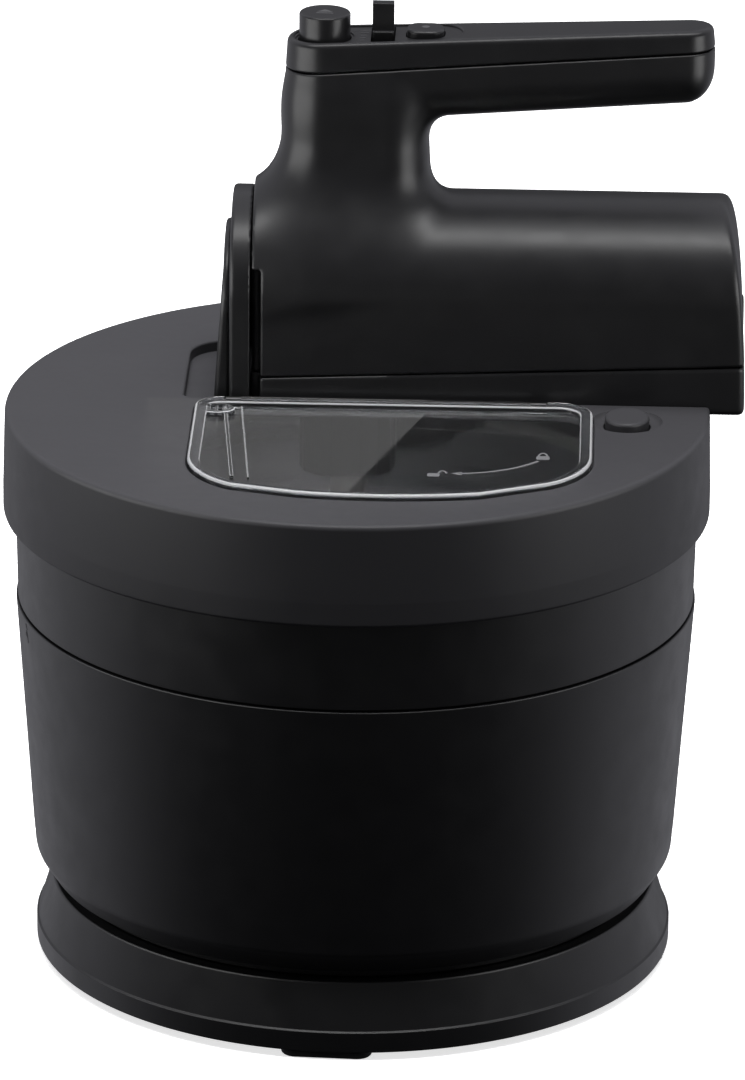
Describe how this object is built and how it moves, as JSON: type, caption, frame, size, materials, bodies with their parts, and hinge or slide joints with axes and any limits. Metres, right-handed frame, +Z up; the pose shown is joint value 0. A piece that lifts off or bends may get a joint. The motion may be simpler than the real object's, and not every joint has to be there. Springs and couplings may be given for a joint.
{
  "type": "hand mixer",
  "caption": "Hand mixer docked on the lid of a round mixing barrel, with a clear feed door, twin beaters and a geared turning bowl.",
  "frame": {"origin": "centre of the base plate's flat underside, on the bowl's axis; the rubber feet stand 3 mm lower", "axes": "+Z up along the bowl's axis, +X along the mixer from its front cap to its rear end, +Y from the feed door to the back"},
  "size_m": [0.2629, 0.2514, 0.341],
  "materials": {
    "satin_shell": "satin, near-black moulded ABS",
    "dark_plastic": "fine-textured black plastic",
    "rubber": "matte",
    "clear_plastic": "clear, polished",
    "nylon": "natural nylon",
    "steel": "brushed",
    "brass": "turned",
    "copper": "enamelled copper",
    "iron": "laminated",
    "carbon": "pressed carbon",
    "board": "lacquered circuit board"
  },
  "bodies": {
    "base": {"foot_ring": "dark_plastic", "base_plate": "dark_plastic", "rubber_foot_1": "rubber", "rubber_foot_2": "rubber", "rubber_foot_3": "rubber", "rubber_foot_4": "rubber", "base_screw_1": "steel", "base_screw_2": "steel", "base_screw_3": "steel", "housing_shell": "satin_shell", "pivot_pin": "steel"},
    "bowl": {"turntable": "dark_plastic", "pivot_bush": "brass", "bowl": "steel", "bowl_drive_ring": "nylon"},
    "gasket": {"lid_gasket": "rubber"},
    "lid": {"lid_cover": "satin_shell", "lid_collar": "satin_shell", "gear_case": "dark_plastic", "idler_pin": "steel", "door_hinge_pin": "steel", "release_spring": "steel"},
    "idler": {"idler_gear": "nylon", "friction_tyre": "rubber"},
    "door": {"feed_door": "clear_plastic"},
    "release_button": {"release_button": "satin_shell"},
    "release_latch": {"release_latch": "dark_plastic"},
    "near_drive": {"near_coupler": "nylon", "near_beater": "steel"},
    "far_drive": {"far_coupler": "nylon", "far_beater": "steel", "drive_pinion": "nylon"},
    "mixer": {"motor_housing": "satin_shell", "bottom_cover": "satin_shell", "front_cap": "satin_shell", "front_plate": "satin_shell", "handle_cover": "satin_shell", "cord_inlet": "rubber", "eject_spring": "steel", "speed_switch": "dark_plastic", "turbo_switch": "dark_plastic", "turbo_spring": "steel", "gearbox_frame": "dark_plastic", "stator_core": "iron", "upper_field_coil": "copper", "lower_field_coil": "copper", "rear_bearing_bracket": "dark_plastic", "near_brush": "carbon", "far_brush": "carbon", "control_board": "board"},
    "eject": {"eject_button": "satin_shell", "eject_rod": "dark_plastic"},
    "speed": {"speed_lever": "dark_plastic"},
    "turbo": {"turbo_button": "satin_shell"},
    "rotor": {"motor_shaft": "steel", "armature_core": "iron", "commutator": "copper", "cooling_fan": "dark_plastic"},
    "near_spindle": {"near_spindle_gear": "nylon"},
    "far_spindle": {"far_spindle_gear": "nylon"}
  },
  "joints": [
    {"name": "bowl_turn", "type": "hinge", "parent": "base", "child": "bowl", "pos_m": [0, 0, 0.036], "axis": [0, 0, 1], "continuous": true},
    {"name": "lid_lift", "type": "slide", "parent": "base", "child": "gasket", "axis": [0, 0, 1], "range_m": [0, 0.18]},
    {"name": "lid_twist", "type": "hinge", "parent": "gasket", "child": "lid", "pos_m": [0, 0, 0.14], "axis": [0, 0, 1], "range_deg": [0, 15]},
    {"name": "idler_spin", "type": "hinge", "parent": "lid", "child": "idler", "pos_m": [0.01594, 0.07942, 0.17], "axis": [0, 0, 1], "continuous": true},
    {"name": "door_open", "type": "hinge", "parent": "lid", "child": "door", "pos_m": [0.012, 0.0022, 0.2007], "axis": [-1, 0, 0], "range_deg": [0, 80]},
    {"name": "release_press", "type": "slide", "parent": "lid", "child": "release_button", "axis": [0, 0, -1], "range_m": [0, 0.003], "stiffness_N_per_m": 500, "springref_m": -0.004, "deforming": ["release_spring"]},
    {"name": "latch_slide", "type": "slide", "parent": "lid", "child": "release_latch", "axis": [0, -1, 0], "range_m": [0, 0.003]},
    {"name": "near_drive_spin", "type": "hinge", "parent": "lid", "child": "near_drive", "pos_m": [-0.004, 0.022, 0.18], "axis": [0, 0, 1], "continuous": true},
    {"name": "far_drive_spin", "type": "hinge", "parent": "lid", "child": "far_drive", "pos_m": [-0.004, 0.052, 0.18], "axis": [0, 0, 1], "continuous": true},
    {"name": "mixer_lift", "type": "slide", "parent": "lid", "child": "mixer", "axis": [0, 0, 1], "range_m": [0, 0.05]},
    {"name": "motor_spin", "type": "hinge", "parent": "mixer", "child": "rotor", "pos_m": [0.05, 0.037, 0.232], "axis": [1, 0, 0], "continuous": true},
    {"name": "near_spindle_spin", "type": "hinge", "parent": "mixer", "child": "near_spindle", "pos_m": [-0.004, 0.022, 0.22], "axis": [0, 0, 1], "continuous": true},
    {"name": "far_spindle_spin", "type": "hinge", "parent": "mixer", "child": "far_spindle", "pos_m": [-0.004, 0.052, 0.22], "axis": [0, 0, 1], "continuous": true},
    {"name": "eject_press", "type": "slide", "parent": "mixer", "child": "eject", "axis": [0, 0, -1], "range_m": [0, 0.008], "stiffness_N_per_m": 400, "springref_m": -0.004, "deforming": ["eject_spring"]},
    {"name": "speed_slide", "type": "slide", "parent": "mixer", "child": "speed", "axis": [0, 1, 0], "range_m": [-0.006, 0.006]},
    {"name": "turbo_press", "type": "slide", "parent": "mixer", "child": "turbo", "axis": [0, 0, -1], "range_m": [0, 0.0025], "stiffness_N_per_m": 500, "springref_m": -0.003, "deforming": ["turbo_spring"]}
  ],
  "couplings": [
    {"joint": "near_spindle_spin", "follows": "motor_spin", "ratio": 0.045455},
    {"joint": "far_spindle_spin", "follows": "motor_spin", "ratio": -0.045455},
    {"joint": "near_drive_spin", "follows": "motor_spin", "ratio": 0.045455},
    {"joint": "far_drive_spin", "follows": "motor_spin", "ratio": -0.045455},
    {"joint": "idler_spin", "follows": "motor_spin", "ratio": 0.010331},
    {"joint": "bowl_turn", "follows": "motor_spin", "ratio": 0.0018783},
    {"joint": "latch_slide", "follows": "release_press", "ratio": 1}
  ]
}
